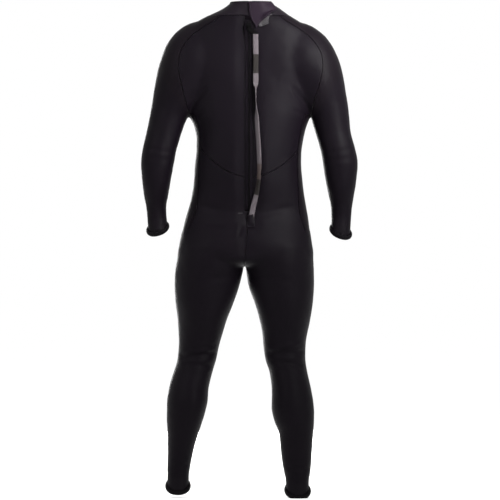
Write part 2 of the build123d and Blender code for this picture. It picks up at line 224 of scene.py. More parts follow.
RIGHT_LEG = mm([
    (25, 735, -181, 735, -104, 104),
    (18, 785, -188, 785, -104, 104),
    (11, 820, -189, 820, -102, 98),
    (7, 850, -189, 850, -100, 92),
    (-10, 897, -186, 897, -96, 84),
    (-30, 962, -176, 962, -89, 70),
    (-37, 995, -169, 995, -85, 60),
    (-40, 1030, -163, 1030, -81, 52),
    (-46, 1080, -162, 1080, -76, 44),
    (-59, 1114, -167, 1114, -71, 50),
    (-64, 1165, -180, 1165, -63, 62),
    (-64, 1220, -188, 1220, -56, 68),
    (-70, 1255, -189, 1255, -53, 63),
    (-86, 1300, -186, 1300, -50, 49),
    (-92, 1350, -183, 1350, -48, 36),
    (-99, 1400, -180, 1400, -46, 27),
    (-107, 1450, -174, 1450, -44, 23),
    (-107, 1476, -175, 1480, -45, 24),
    (-105, 1490, -177, 1496, -46, 25),
    (-104, 1505, -178, 1512, -46, 25),
])

# Cuffs: centre x, centre y, drop of the middle at the top and at the hem, and how far the hem slants across.
CUFFS = {
    "left_wrist": (282, -38, 638, 683, -0.28),
    "right_wrist": (-271, -38, 647, 692, 0.36),
    "left_ankle": (221, -10, 1417, 1462, 0.0),
    "right_ankle": (-142, -10, 1431, 1476, 0.05),
}
CUFF_RAKE = 0.55

# Where the raglan seam, and below the armpit the gap between arm and torso, lies: drop, left x, right x.
RAGLAN = mm([
    (-50, 92, -84),
    (30, 92, -84),
    (47, 98, -92),
    (82, 152, -145),
    (115, 190, -185),
    (165, 215, -213),
    (198, 218, -216),
    (233, 212, -210),
    (290, 199, -193),
    (338, 188, -181),
    (372, 186, -176),
    (450, 196, -186),
    (550, 208, -192),
    (650, 228, -208),
    (740, 240, -222),
])


# --------------------------------------------------------------------------------------- mesh helpers


def new_object(name, mesh):
    obj = bpy.data.objects.new(name, mesh)
    bpy.context.scene.collection.objects.link(obj)
    return obj


def mesh_from(name, points, faces):
    mesh = bpy.data.meshes.new(name)
    mesh.from_pydata([tuple(p) for p in points], [], faces)
    mesh.update()
    return mesh


def shade_smooth(mesh):
    mesh.polygons.foreach_set("use_smooth", [True] * len(mesh.polygons))
    return mesh


def facing_out(mesh):
    """The closed mesh with all its faces turned outwards."""
    bm = bmesh.new()
    bm.from_mesh(mesh)
    bmesh.ops.recalc_face_normals(bm, faces=bm.faces)
    bm.to_mesh(mesh)
    bm.free()
    return mesh


def evaluated(obj):
    """The object's mesh with its modifiers applied; the object goes."""
    graph = bpy.context.evaluated_depsgraph_get()
    mesh = bpy.data.meshes.new_from_object(obj.evaluated_get(graph))
    old = obj.data
    bpy.data.objects.remove(obj)
    bpy.data.meshes.remove(old)
    return mesh


def coordinates(mesh):
    points = np.empty(len(mesh.vertices) * 3)
    mesh.vertices.foreach_get("co", points)
    return points.reshape(-1, 3)


def vertex_normals(mesh):
    normals = np.empty(len(mesh.vertices) * 3)
    mesh.vertices.foreach_get("normal", normals)
    return normals.reshape(-1, 3)


def set_coordinates(mesh, points):
    mesh.vertices.foreach_set("co", points.ravel())
    mesh.update()


def curve_through(rows, values):
    """Smooth values between rows, whose first column is the place, by cubic steps without overshoot."""
    rows = np.array(rows)
    place = rows[:, 0]
    result = []
    for column in rows.T[1:]:
        steps = np.diff(column) / np.diff(place)
        slopes = np.zeros(len(column))
        slopes[0], slopes[-1] = steps[0], steps[-1]
        same = steps[:-1] * steps[1:] > 0
        mean = 2 * steps[:-1] * steps[1:] / np.where(same, steps[:-1] + steps[1:], 1)
        slopes[1:-1] = np.where(same, mean, 0)
        i = np.clip(np.searchsorted(place, values) - 1, 0, len(place) - 2)
        width = place[i + 1] - place[i]
        t = np.clip((values - place[i]) / width, 0, 1)
        result.append(
            column[i] * (1 + 2 * t) * (1 - t) ** 2
            + column[i + 1] * t**2 * (3 - 2 * t)
            + slopes[i] * width * t * (1 - t) ** 2
            + slopes[i + 1] * width * t**2 * (t - 1)
        )
    return np.array(result)


def tube_faces(rings, sides):
    """The faces of a tube with closed ends, ring after ring."""
    faces = []
    for i in range(rings - 1):
        for j in range(sides):
            a, b = i * sides + j, i * sides + (j + 1) % sides
            faces.append((a, b, b + sides, a + sides))
    return [*faces, tuple(reversed(range(sides))), tuple(range((rings - 1) * sides, rings * sides))]


def tube_volume(rings, power):
    """A closed mesh through rings of inner x, inner drop, outer x, outer drop, front y, back y."""
    rings = np.array(rings)
    ends = (rings[:, 0] + rings[:, 2], rings[:, 4] + rings[:, 5], rings[:, 1] + rings[:, 3])
    middles = np.column_stack(ends) / 2
    along = np.concatenate([[0], np.cumsum(np.linalg.norm(np.diff(middles, axis=0), axis=1))])
    count = max(8, int(along[-1] / RING_STEP))
    places = np.linspace(0, along[-1], count)
    x0, d0, x1, d1, front, back = curve_through(np.column_stack([along, rings]), places)
    points = []
    for i in range(count):
        centre = Vector(((x0[i] + x1[i]) / 2, (front[i] + back[i]) / 2, -(d0[i] + d1[i]) / 2))
        across = Vector(((x1[i] - x0[i]) / 2, 0, -(d1[i] - d0[i]) / 2))
        half_depth = (back[i] - front[i]) / 2
        for j in range(RING_SIDES):
            angle = 2 * math.pi * j / RING_SIDES
            c = math.copysign(abs(math.cos(angle)) ** (2 / power), math.cos(angle))
            s = math.copysign(abs(math.sin(angle)) ** (2 / power), math.sin(angle))
            points.append(centre + across * c + Vector((0, half_depth * s, 0)))
    return facing_out(mesh_from("volume", points, tube_faces(count, RING_SIDES)))


def joined(meshes):
    bm = bmesh.new()
    for mesh in meshes:
        bm.from_mesh(mesh)
        bpy.data.meshes.remove(mesh)
    whole = bpy.data.meshes.new("whole")
    bm.to_mesh(whole)
    bm.free()
    return whole


# ----------------------------------------------------------------------------------- the suit's outer skin


def whole_skin():
    """One closed skin of torso, arms and legs, with the valley between arm and torso filled in."""
    torso = [(a, d, b, d, front, back) for d, a, b, front, back in TORSO]
    limbs = [tube_volume(rings, LIMB_POWER) for rings in (LEFT_ARM, RIGHT_ARM, LEFT_LEG, RIGHT_LEG)]
    body = new_object("skin", joined([tube_volume(torso, TORSO_POWER), *limbs]))
    remesh = body.modifiers.new("remesh", "REMESH")
    remesh.mode = "VOXEL"
    remesh.voxel_size = VOXEL
    soften = body.modifiers.new("soften", "SMOOTH")
    soften.factor = 0.5
    soften.iterations = SKIN_SOFTENING
    mesh = evaluated(body)
    place = coordinates(mesh)
    side = np.where(place[:, 0] > 0, place[:, 0], 0.008 - place[:, 0])
    weight = np.exp(-(((side - 0.165) / 0.050) ** 4)) * np.clip((np.abs(place[:, 1]) - 0.02) / 0.03, 0, 1)
    weight *= np.clip((0.37 + place[:, 2]) / 0.06, 0, 1)
    body = new_object("skin", mesh)
    group = body.vertex_groups.new(name="shoulder_valley")
    for i in np.nonzero(weight > 0.01)[0]:
        group.add([int(i)], float(weight[i]), "REPLACE")
    fill = body.modifiers.new("fill", "SMOOTH")
    fill.vertex_group = "shoulder_valley"
    fill.factor = 0.5
    fill.iterations = VALLEY_SOFTENING
    return evaluated(body)


def bump(points, facing, x, drop, wide, tall, height):
    """A soft swelling on the back (facing 1) or front (facing -1)."""
    px, pz, ny = points
    spread = ((px - x) / wide) ** 2 + ((-pz - drop) / tall) ** 2
    return height * np.exp(-spread) * np.clip(ny * facing * 1.6, 0, 1)


def fold(points, facing, start, end, width, depth):
    """A crease along a line in the rear view, with a ridge on each side."""
    px, pz, ny = points
    a, b = np.array(start), np.array(end)
    along = b - a
    rel = np.column_stack([px - a[0], -pz - a[1]])
    t = rel @ along / (along @ along)
    gap = rel - np.clip(t, 0, 1)[:, None] * along
    distance = np.linalg.norm(gap, axis=1)
    fade = np.exp(-(((t - 0.5) / 0.62) ** 4))
    profile = -np.exp(-((distance / width) ** 2)) + 0.55 * np.exp(-(((distance - 1.9 * width) / width) ** 2))
    return depth * profile * fade * np.clip(ny * facing * 1.6, 0, 1)


BACK, FRONT = 1, -1
SWELLINGS = [
    (BACK, 0.085, 0.205, 0.055, 0.075, 0.003),
    (BACK, -0.082, 0.195, 0.055, 0.075, 0.002),
    (BACK, 0.148, 0.185, 0.056, 0.075, 0.009),
    (BACK, -0.142, 0.170, 0.056, 0.075, 0.011),
    (BACK, 0.048, 0.50, 0.028, 0.09, 0.004),
    (BACK, -0.042, 0.50, 0.028, 0.09, 0.004),
    (BACK, 0.112, 0.752, 0.065, 0.055, 0.006),
    (BACK, -0.078, 0.752, 0.065, 0.055, 0.003),
    (BACK, 0.017, 0.745, 0.016, 0.055, -0.004),
    (BACK, 0.150, 0.93, 0.035, 0.09, 0.003),
    (BACK, -0.120, 0.93, 0.035, 0.09, 0.003),
    (BACK, 0.175, 1.19, 0.024, 0.06, 0.003),
    (BACK, -0.112, 1.19, 0.024, 0.06, 0.003),
    (FRONT, 0.085, 0.19, 0.06, 0.06, 0.006),
    (FRONT, -0.080, 0.19, 0.06, 0.06, 0.006),
    (FRONT, 0.0, 0.215, 0.018, 0.07, -0.004),
    (FRONT, 0.164, 1.075, 0.032, 0.040, 0.005),
    (FRONT, -0.104, 1.075, 0.032, 0.040, 0.005),
    (FRONT, 0.005, 0.45, 0.06, 0.16, -0.004),
]
FOLDS = [
    # Behind the knees.
    (BACK, (0.115, 1.058), (0.205, 1.070), 0.0090, 0.0046),
    (BACK, (0.118, 1.098), (0.200, 1.090), 0.0070, 0.0020),
    (BACK, (0.112, 1.035), (0.170, 1.046), 0.0060, 0.0020),
    (BACK, (-0.155, 1.052), (-0.060, 1.060), 0.0090, 0.0046),
    (BACK, (-0.150, 1.098), (-0.060, 1.076), 0.0070, 0.0022),
    (BACK, (-0.150, 1.036), (-0.095, 1.046), 0.0060, 0.0020),
    # Inside and outside the elbows.
    (BACK, (0.245, 0.452), (0.318, 0.440), 0.0065, 0.0007),
    (BACK, (0.242, 0.476), (0.310, 0.470), 0.0065, 0.0006),
    (BACK, (-0.228, 0.455), (-0.305, 0.442), 0.0065, 0.0007),
    (BACK, (-0.226, 0.478), (-0.296, 0.472), 0.0065, 0.0006),
    (FRONT, (0.235, 0.440), (0.315, 0.452), 0.0060, 0.0035),
    (FRONT, (-0.220, 0.440), (-0.300, 0.452), 0.0060, 0.0035),
    # From the foot of the zip, and across the small of the back.
    (BACK, (0.019, 0.640), (0.036, 0.706), 0.0045, 0.0020),
    (BACK, (0.060, 0.640), (0.150, 0.612), 0.0090, 0.0011),
    (BACK, (-0.030, 0.642), (-0.120, 0.618), 0.0090, 0.0011),
    (BACK, (0.050, 0.675), (0.130, 0.668), 0.0090, 0.0010),
    # Under the seat.
    (BACK, (0.060, 0.826), (0.150, 0.836), 0.0090, 0.0014),
    (BACK, (-0.020, 0.826), (-0.110, 0.836), 0.0090, 0.0014),
    # From the armpits towards the shoulder blades.
    (BACK, (0.180, 0.318), (0.132, 0.262), 0.0065, 0.0016),
    (BACK, (0.176, 0.346), (0.140, 0.330), 0.0060, 0.0012),
    (BACK, (-0.172, 0.318), (-0.126, 0.262), 0.0065, 0.0016),
    (BACK, (-0.168, 0.346), (-0.134, 0.330), 0.0060, 0.0012),
    (FRONT, (0.178, 0.310), (0.125, 0.225), 0.0070, 0.0040),
    (FRONT, (-0.172, 0.310), (-0.120, 0.225), 0.0070, 0.0040),
    # In front of the hips and above the ankles.
    (FRONT, (0.045, 0.800), (0.170, 0.735), 0.0070, 0.0040),
    (FRONT, (-0.010, 0.800), (-0.140, 0.735), 0.0070, 0.0040),
    (BACK, (0.190, 1.392), (0.245, 1.400), 0.0060, 0.0014),
    (BACK, (-0.110, 1.402), (-0.170, 1.410), 0.0060, 0.0014),
]


def rest_on_zip(points, move):
    """The move out of the skin, left out beside the zip and turned inwards under the open zip's puller."""
    aside, drop, rear = points[:, 0] - ZIP_X, -points[:, 2], points[:, 1] > 0
    along_zip = np.clip((0.705 - drop) / 0.035, 0, 1) * rear * (drop > -0.02)
    keep_flat = 1 - along_zip * np.exp(-((aside / 0.034) ** 4))
    under_puller = np.exp(-((aside / 0.013) ** 4) - ((drop - 0.662) / 0.020) ** 4)
    return move * keep_flat - 0.0035 * under_puller * rear


def shape_crotch(moved, points, normals):
    """Brings the moved skin under the seat back, and raises the crotch's underside towards the front."""
    drop = -points[:, 2]
    underside = np.exp(-(((points[:, 0] - CROTCH[0]) / 0.034) ** 2) - ((drop - CROTCH[1]) / 0.035) ** 2)
    underside *= np.clip(-2 * normals[:, 2], 0, 1)
    under_seat = np.exp(-(((moved[:, 0] - CROTCH[0]) / 0.042) ** 2) - ((drop - 0.786) / 0.022) ** 2)
    moved[:, 1] += 0.012 * under_seat * np.clip(moved[:, 1] / 0.02, 0, 1)
    moved[:, 2] += 0.45 * underside * np.clip(0.035 - moved[:, 1], 0, 0.09)


def shape_skin(mesh):
    """Adds the wearer's form and the folds of worn neoprene to the plain skin."""
    points, normals = coordinates(mesh), vertex_normals(mesh)
    view = (points[:, 0], points[:, 2], normals[:, 1])
    move = np.zeros(len(points))
    for swelling in SWELLINGS:
        move += bump(view, *swelling)
    for crease in FOLDS:
        move += fold(view, *crease)
    for i, point in enumerate(points):
        move[i] += 0.0012 * noise.noise(Vector(point) * 14) + 0.0005 * noise.noise(Vector(point) * 42)
    move += SKIN_GROWTH
    moved = points + normals * rest_on_zip(points, move)[:, None]
    shape_crotch(moved, points, normals)
    set_coordinates(mesh, moved)


def gape(x, drop):
    """How far the left edge of the zip's opening stands aside below the collar, fading across the panel."""
    aside = np.maximum(x - SLOT_SIDES[1], 0)
    return 0.0062 * np.exp(-(((drop - 0.084) / 0.021) ** 2)) * np.exp(-((aside / 0.030) ** 2))


# -------------------------------------------------------------------------------------- seams and panels


def cut(bm, inside, plane_point, plane_normal, bend=None):
    """Adds edges where a plane crosses the faces that inside() picks. bend shifts points before the cut."""
    faces = [f for f in bm.faces if inside(f.calc_center_median())]
    verts = {v for f in faces for v in f.verts}
    edges = {e for f in faces for e in f.edges}
    if bend:
        for v in verts:
            v.co = v.co + bend(v.co)
    geometry = [*verts, *edges, *faces]
    done = bmesh.ops.bisect_plane(bm, geom=geometry, dist=1e-6, plane_co=plane_point, plane_no=plane_normal)
    if bend:
        verts |= {g for g in done["geom_cut"] if isinstance(g, bmesh.types.BMVert)}
        for v in verts:
            v.co = v.co - bend(v.co)


def raglan_x(drop, side):
    return curve_through(RAGLAN, np.array([drop]))[0 if side > 0 else 1][0]


def beyond_raglan(p, side):
    return p.x * side > 0.02 and -p.z < 0.735 and (p.x - raglan_x(-p.z, side)) * side > 0


def waist_drop(x):
    return WAIST_DROP - WAIST_CURVE * (x - WAIST_X) ** 2


def centre_x(drop):
    """The centre seam, which leans from the foot of the zip to the crotch."""
    return ZIP_X + (CROTCH[0] - ZIP_X) * max(0.0, drop - LEAN_DROP) / (CROTCH[1] - LEAN_DROP)


def raglan_table(side):
    drops = np.linspace(-0.05, 0.74, 400)
    return drops, curve_through(RAGLAN, drops)[0 if side > 0 else 1]


def cut_seams(bm):
    for side in (1, -1):
        drops, places = raglan_table(side)

        def straighten(p, drops=drops, places=places):
            return Vector((-float(np.interp(-p.z, drops, places)), 0, 0))

        cut(bm, lambda p: p.x * side > 0.03 and -p.z < 0.40, (0, 0, 0), (1, 0, 0), straighten)

        def wedge(p, side=side):
            return p.x * side > 0.10 and 0.30 < -p.z < 0.72 and not beyond_raglan(p, side)

        for lean in (1, -1):
            normal = Vector((-lean * SIDE_SPREAD * side, 1, 0)).normalized()
            cut(bm, wedge, (0.005, SIDE_Y, 0), normal)

    def torso(p):
        return -0.01 < -p.z < 0.72 and not beyond_raglan(p, 1) and not beyond_raglan(p, -1)

    cut(bm, lambda p: torso(p) and 0.38 < -p.z < 0.56, (0, 0, 0), (0, 0, 1),
        lambda p: Vector((0, 0, waist_drop(p.x))))
    cut(bm, lambda p: abs(p.z) < 0.08, (0, 0, -COLLAR_DROP), (0, 0, 1))
    for x in SLOT_SIDES:
        cut(bm, lambda p: p.y > 0 and 0.03 < -p.z < 0.66 and abs(p.x) < 0.04, (x, 0, 0), (1, 0, 0))
    for x in COLLAR_SLIT:
        cut(bm, lambda p: p.y > 0 and -p.z < 0.06 and abs(p.x) < 0.04, (x, 0, 0), (1, 0, 0))
    cut(bm, lambda p: p.y > 0 and 0.60 < -p.z < 0.66 and abs(p.x) < 0.03, (0, 0, -SLOT_END_DROP), (0, 0, 1))

    def lean(p):
        return Vector((-centre_x(-p.z), 0, 0))

    cut(bm, lambda p: 0.61 < -p.z < 0.88 and abs(p.x) < 0.06, (0, 0, 0), (1, 0, 0), lean)
    cut(bm, lambda p: -p.z > 0.66 and not arm(p), (0, LEG_SEAM_Y, 0), (0, 1, 0))
    for drop in (HIP_DROP, THIGH_DROP, KNEE_TOP_DROP, KNEE_BOTTOM_DROP):
        cut(bm, lambda p: abs(-p.z - drop) < 0.03 and not arm(p), (0, 0, -drop), (0, 0, 1))
    for drop in (ELBOW_TOP_DROP, ELBOW_BOTTOM_DROP):
        cut(bm, lambda p: abs(-p.z - drop) < 0.03 and arm(p), (0, 0, -drop), (0, 0, 1))
    for plane in CUFF_PLANES.values():
        for point in plane["ends"]:
            near = Vector(point)
            cut(bm, lambda p: (p - near).length < 0.07, point, plane["axis"])
    cut(bm, lambda p: abs(p.z) < 0.02, (0, 0, 0), (0, 0, 1))


def arm(p):
    return beyond_raglan(p, 1) or beyond_raglan(p, -1)


def cuff_planes():
    """Each cuff's axis, out of the limb, and the middles of its ends; a cuff reaches lowest at the back."""
    planes = {}
    for name, (x, y, top_drop, hem_drop, slant) in CUFFS.items():
        ends = [Vector((x, y, -drop)) * MM for drop in (top_drop, hem_drop)]
        planes[name] = {"axis": Vector((slant, -CUFF_RAKE, -1)).normalized(), "ends": ends}
    return planes


CUFF_PLANES = cuff_planes()


def past(p, mount, end):
    plane = CUFF_PLANES[mount]
    return (p - plane["ends"][end]).dot(plane["axis"]) > 0


def arm_panel(p, side):
    if past(p, f"{side}_wrist", 1) and -p.z > 0.6:
        return None
    if past(p, f"{side}_wrist", 0) and -p.z > 0.6:
        return f"{side}_wrist_cuff"
    if -p.z > ELBOW_BOTTOM_DROP:
        return f"{side}_forearm_sleeve"
    if -p.z > ELBOW_TOP_DROP:
        return f"{side}_elbow_panel"
    if sleeve_drop(p) > 0:
        return f"{side}_upper_sleeve"
    return f"{side}_shoulder_panel"


def sleeve_drop(p):
    """Positive below the line where the shoulder panel ends, from the armpit to the outer arm."""
    return -p.z - SLEEVE_LINE[1] + (abs(p.x) - SLEEVE_LINE[0]) * SLEEVE_LINE_SLOPE


def leg_panel(p, side):
    if past(p, f"{side}_ankle", 1) and -p.z > 1.3:
        return None
    if past(p, f"{side}_ankle", 0) and -p.z > 1.3:
        return f"{side}_ankle_cuff"
    rear = p.y > LEG_SEAM_Y
    if -p.z > KNEE_BOTTOM_DROP:
        return f"{side}_calf_panel" if rear else f"{side}_shin_panel"
    if -p.z > KNEE_TOP_DROP:
        return f"{side}_knee_back_panel" if rear else f"{side}_knee_pad"
    if -p.z > THIGH_DROP:
        return f"{side}_thigh_back_panel" if rear else f"{side}_thigh_front_panel"
    return f"{side}_seat_panel" if rear else f"{side}_groin_panel"


def torso_panel(p, side):
    drop = -p.z
    if drop < 0:
        return None
    if drop < COLLAR_DROP:
        return None if p.y > 0 and COLLAR_SLIT[0] < p.x < COLLAR_SLIT[1] else "collar_band"
    if p.y > 0 and SLOT_SIDES[0] < p.x < SLOT_SIDES[1] and drop < SLOT_END_DROP:
        return None
    if drop > 0.34 and abs(p.y - SIDE_Y) < SIDE_SPREAD * abs(p.x - 0.005) and abs(p.x) > 0.1:
        return f"{side}_side_panel"
    below = drop > waist_drop(p.x)
    if p.y < SIDE_Y:
        return "front_waist_panel" if below else "front_chest_panel"
    return f"{side}_lower_back_panel" if below else f"{side}_back_panel"


def panel_of(p):
    for side, sign in (("left", 1), ("right", -1)):
        if beyond_raglan(p, sign) and -p.z > COLLAR_DROP:
            return arm_panel(p, side)
    if -p.z > HIP_DROP:
        return leg_panel(p, "left" if p.x > centre_x(-p.z) else "right")
    return torso_panel(p, "left" if p.x > centre_x(-p.z) else "right")


# Pairs of panels with no seam between them: the cut is only where the material starts to bend.
SEAMLESS = [
    ("shoulder_panel", "upper_sleeve"),
    ("upper_sleeve", "elbow_panel"),
    ("elbow_panel", "forearm_sleeve"),
    ("lower_back_panel", "seat_panel"),
    ("side_panel", "seat_panel"),
    ("side_panel", "groin_panel"),
    ("front_waist_panel", "groin_panel"),
    ("seat_panel", "thigh_back_panel"),
    ("groin_panel", "thigh_front_panel"),
    ("thigh_back_panel", "knee_back_panel"),
    ("knee_back_panel", "calf_panel"),
    ("calf_panel", "ankle_cuff"),
    ("shin_panel", "ankle_cuff"),
    ("forearm_sleeve", "wrist_cuff"),
    ("front_chest_panel", "side_panel"),
]


def seamless(a, b):
    for one, other in SEAMLESS:
        if (a.endswith(one) and b.endswith(other)) or (a.endswith(other) and b.endswith(one)):
            return True
    return False


def split_skin(mesh):
    """Cuts the skin at its seams and returns each panel's faces, with the shared points and normals."""
    bm = bmesh.new()
    bm.from_mesh(mesh)
    cut_seams(bm)
    for side, sign in (("left", 1), ("right", -1)):
        normal = Vector((SLEEVE_LINE_SLOPE * sign, 0, -1)).normalized()
        point = (SLEEVE_LINE[0] * sign, 0, -SLEEVE_LINE[1])
        cut(bm, lambda p: beyond_raglan(p, sign) and -p.z < ELBOW_TOP_DROP, point, normal)
    bmesh.ops.remove_doubles(bm, verts=bm.verts, dist=0.0003)
    bm.normal_update()
    bm.verts.index_update()
    panels, owner = {}, {}
    for face in bm.faces:
        name = panel_of(face.calc_center_median())
        owner[face.index] = name
        if name:
            panels.setdefault(name, []).append([v.index for v in face.verts])
    bm.faces.index_update()
    seam_verts, seams = set(), []
    for edge in bm.edges:
        names = {owner.get(f.index) for f in edge.link_faces}
        if len(names) == 2 and None not in names and not seamless(*names):
            a, b = sorted(names)
            seams.append((a, edge.verts[0].index, edge.verts[1].index))
            seam_verts |= {v.index for v in edge.verts}
    points = np.array([v.co[:] for v in bm.verts])
    normals = np.array([v.normal[:] for v in bm.verts])
    bm.free()
    for i in seam_verts:
        points[i] -= normals[i] * SEAM_DEPTH
    beside_zip = (points[:, 1] > 0) & (points[:, 0] > SLOT_SIDES[1] - 0.001)
    points[beside_zip, 0] += gape(points[beside_zip, 0], -points[beside_zip, 2])
    return panels, seams, points, normals


def chains(edges):
    """Edges as the longest runs of points they make."""
    links = {}
    for a, b in edges:
        links.setdefault(a, []).append(b)
        links.setdefault(b, []).append(a)
    left = {tuple(sorted(e)) for e in edges}
    runs = []
    starts = [v for v, near in links.items() if len(near) != 2] + list(links)
    for start in starts:
        for follow in links[start]:
            run, here, there = [start], start, follow
            while tuple(sorted((here, there))) in left:
                left.discard(tuple(sorted((here, there))))
                run.append(there)
                ahead = [v for v in links[there] if tuple(sorted((there, v))) in left]
                if len(links[there]) != 2 or not ahead:
                    break
                here, there = there, ahead[0]
            if len(run) > 1:
                runs.append(run)
    return runs


def eased(path, times):
    """An open path with its small jags smoothed away and its ends kept."""
    for _ in range(times):
        inner = [(path[i - 1] + path[i] * 2 + path[i + 1]) / 4 for i in range(1, len(path) - 1)]
        path = [path[0], *inner, path[-1]]
    return path


def bead(path, ups, radius, flat=1.0):
    """A thin tube along a path; flat squeezes it along its up direction."""
    points = []
    count = len(path)
    for i in range(count):
        ahead = (path[min(i + 1, count - 1)] - path[max(i - 1, 0)]).normalized()
        up = (ups[i] - ahead * ups[i].dot(ahead)).normalized()
        side = ahead.cross(up)
        for j in range(BEAD_SIDES):
            angle = 2 * math.pi * j / BEAD_SIDES
            outwards = side * (radius * math.cos(angle))
            points.append(path[i] + outwards + up * (radius * flat * math.sin(angle)))
    return points, tube_faces(count, BEAD_SIDES)


def panel_mesh(name, faces, points, normals, seam_edges):
    """A panel with its inner side, its edge, and the stitching along the seams it owns."""
    used = sorted({i for face in faces for i in face})
    place = {v: i for i, v in enumerate(used)}
    count = len(used)
    outer = points[used]
    normal = normals[used]
    inner = outer - normal * NEOPRENE
    all_faces = [tuple(place[i] for i in face) for face in faces]
    flipped = [tuple(i + count for i in reversed(face)) for face in all_faces]
    sides = {}
    for face in all_faces:
        for a, b in zip(face, face[1:] + face[:1]):
            sides[(a, b)] = sides.get((a, b), 0) + 1
    rim = [(b, a, a + count, b + count) for a, b in sides if (b, a) not in sides]
    mesh_points = [Vector(p) for p in (*outer, *inner)]
    mesh_normals = [Vector(n) for n in normal] + [-Vector(n) for n in normal]
    mesh_faces = all_faces + flipped + rim
    skin_faces = len(mesh_faces)
    for run in chains(seam_edges):
        path = eased([Vector(points[i]) + Vector(normals[i]) * 0.0007 for i in run], 8)
        ups = eased([Vector(normals[i]) for i in run], 8)
        bead_points, bead_faces = bead(path, ups, STITCH_RADIUS, 0.6)
        base = len(mesh_points)
        mesh_points += bead_points
        mesh_normals += [(p - path[k // BEAD_SIDES]).normalized() for k, p in enumerate(bead_points)]
        mesh_faces += [tuple(base + i for i in face) for face in bead_faces]
    mesh = mesh_from(name, mesh_points, mesh_faces)
    shade_smooth(mesh)
    mesh.normals_split_custom_set_from_vertices(mesh_normals)
    slots = [0] * skin_faces + [1] * (len(mesh_faces) - skin_faces)
    mesh.polygons.foreach_set("material_index", slots)
    return mesh


# ------------------------------------------------------------------------------------------- materials


def node_material(name, color, roughness, specular):
    material = bpy.data.materials.new(name)
    material.use_nodes = True
    shader = material.node_tree.nodes["Principled BSDF"]
    shader.inputs["Base Color"].default_value = (*color, 1)
    shader.inputs["Roughness"].default_value = roughness
    shader.inputs["Specular IOR Level"].default_value = specular
    return material


def linked(material, kind, **inputs):
    node = material.node_tree.nodes.new(kind)
    for key, value in inputs.items():
        if key in node.inputs:
            node.inputs[key].default_value = value
        else:
            setattr(node, key, value)
    return node


def knit(material, dark, light, scale, strength, patch=6.0):
    """Fine knitted cloth: rows of loops in relief, with a slow drift of tone between two colours."""
    tree = material.node_tree
    shader = tree.nodes["Principled BSDF"]
    place = linked(material, "ShaderNodeTexCoord")
    rows = linked(material, "ShaderNodeTexWave", wave_type="BANDS", bands_direction="Z", Scale=scale,
                  Distortion=1.2)
    columns = linked(material, "ShaderNodeTexWave", wave_type="BANDS", bands_direction="X", Scale=scale * 1.3,
                     Distortion=1.6)
    fuzz = linked(material, "ShaderNodeTexNoise", Scale=scale * 4.0, Detail=4.0, Roughness=0.7)
    drift = linked(material, "ShaderNodeTexNoise", Scale=patch, Detail=3.0, Roughness=0.6)
    weave = linked(material, "ShaderNodeMath", operation="MULTIPLY")
    relief = linked(material, "ShaderNodeMath", operation="ADD")
    raised = linked(material, "ShaderNodeBump", Strength=strength, Distance=0.0006)
    tone = linked(material, "ShaderNodeMix", data_type="RGBA")
    speck = linked(material, "ShaderNodeMix", data_type="RGBA", blend_type="MULTIPLY")
    for node in (rows, columns, fuzz, drift):
        tree.links.new(place.outputs["Object"], node.inputs["Vector"])
    tree.links.new(rows.outputs["Fac"], weave.inputs[0])
    tree.links.new(columns.outputs["Fac"], weave.inputs[1])
    tree.links.new(weave.outputs[0], relief.inputs[0])
    tree.links.new(fuzz.outputs["Fac"], relief.inputs[1])
    tree.links.new(relief.outputs[0], raised.inputs["Height"])
    tree.links.new(raised.outputs[0], shader.inputs["Normal"])
    tone.inputs["A"].default_value = (*dark, 1)
    tone.inputs["B"].default_value = (*light, 1)
    tree.links.new(drift.outputs["Fac"], tone.inputs["Factor"])
    speck.inputs["Factor"].default_value = 0.5
    tree.links.new(tone.outputs["Result"], speck.inputs["A"])
    tree.links.new(relief.outputs[0], speck.inputs["B"])
    tree.links.new(speck.outputs["Result"], shader.inputs["Base Color"])
    return material


def neoprene(name, dark, light, roughness=0.5, scale=420.0):
    return knit(node_material(name, dark, roughness, 0.04), dark, light, scale, 0.2)


def webbing(name, dark, light, specular):
    """Woven tape with ribs across its width."""
    return knit(node_material(name, dark, 0.45, specular), dark, light, 260.0, 0.8, 30.0)


def moulded(name, color, roughness, specular):
    """Moulded plastic or painted metal, with a slight grain and patchy roughness."""
    material = node_material(name, color, roughness, specular)
    tree = material.node_tree
    shader = tree.nodes["Principled BSDF"]
    place = linked(material, "ShaderNodeTexCoord")
    specks = linked(material, "ShaderNodeTexNoise", Scale=900.0, Detail=3.0)
    raised = linked(material, "ShaderNodeBump", Strength=0.15, Distance=0.0002)
    worn = linked(material, "ShaderNodeMapRange")
    worn.inputs["To Min"].default_value = roughness * 0.8
    worn.inputs["To Max"].default_value = min(1.0, roughness * 1.3)
    tree.links.new(place.outputs["Object"], specks.inputs["Vector"])
    tree.links.new(specks.outputs["Fac"], raised.inputs["Height"])
    tree.links.new(raised.outputs[0], shader.inputs["Normal"])
    tree.links.new(specks.outputs["Fac"], worn.inputs["Value"])
    tree.links.new(worn.outputs[0], shader.inputs["Roughness"])
    return material


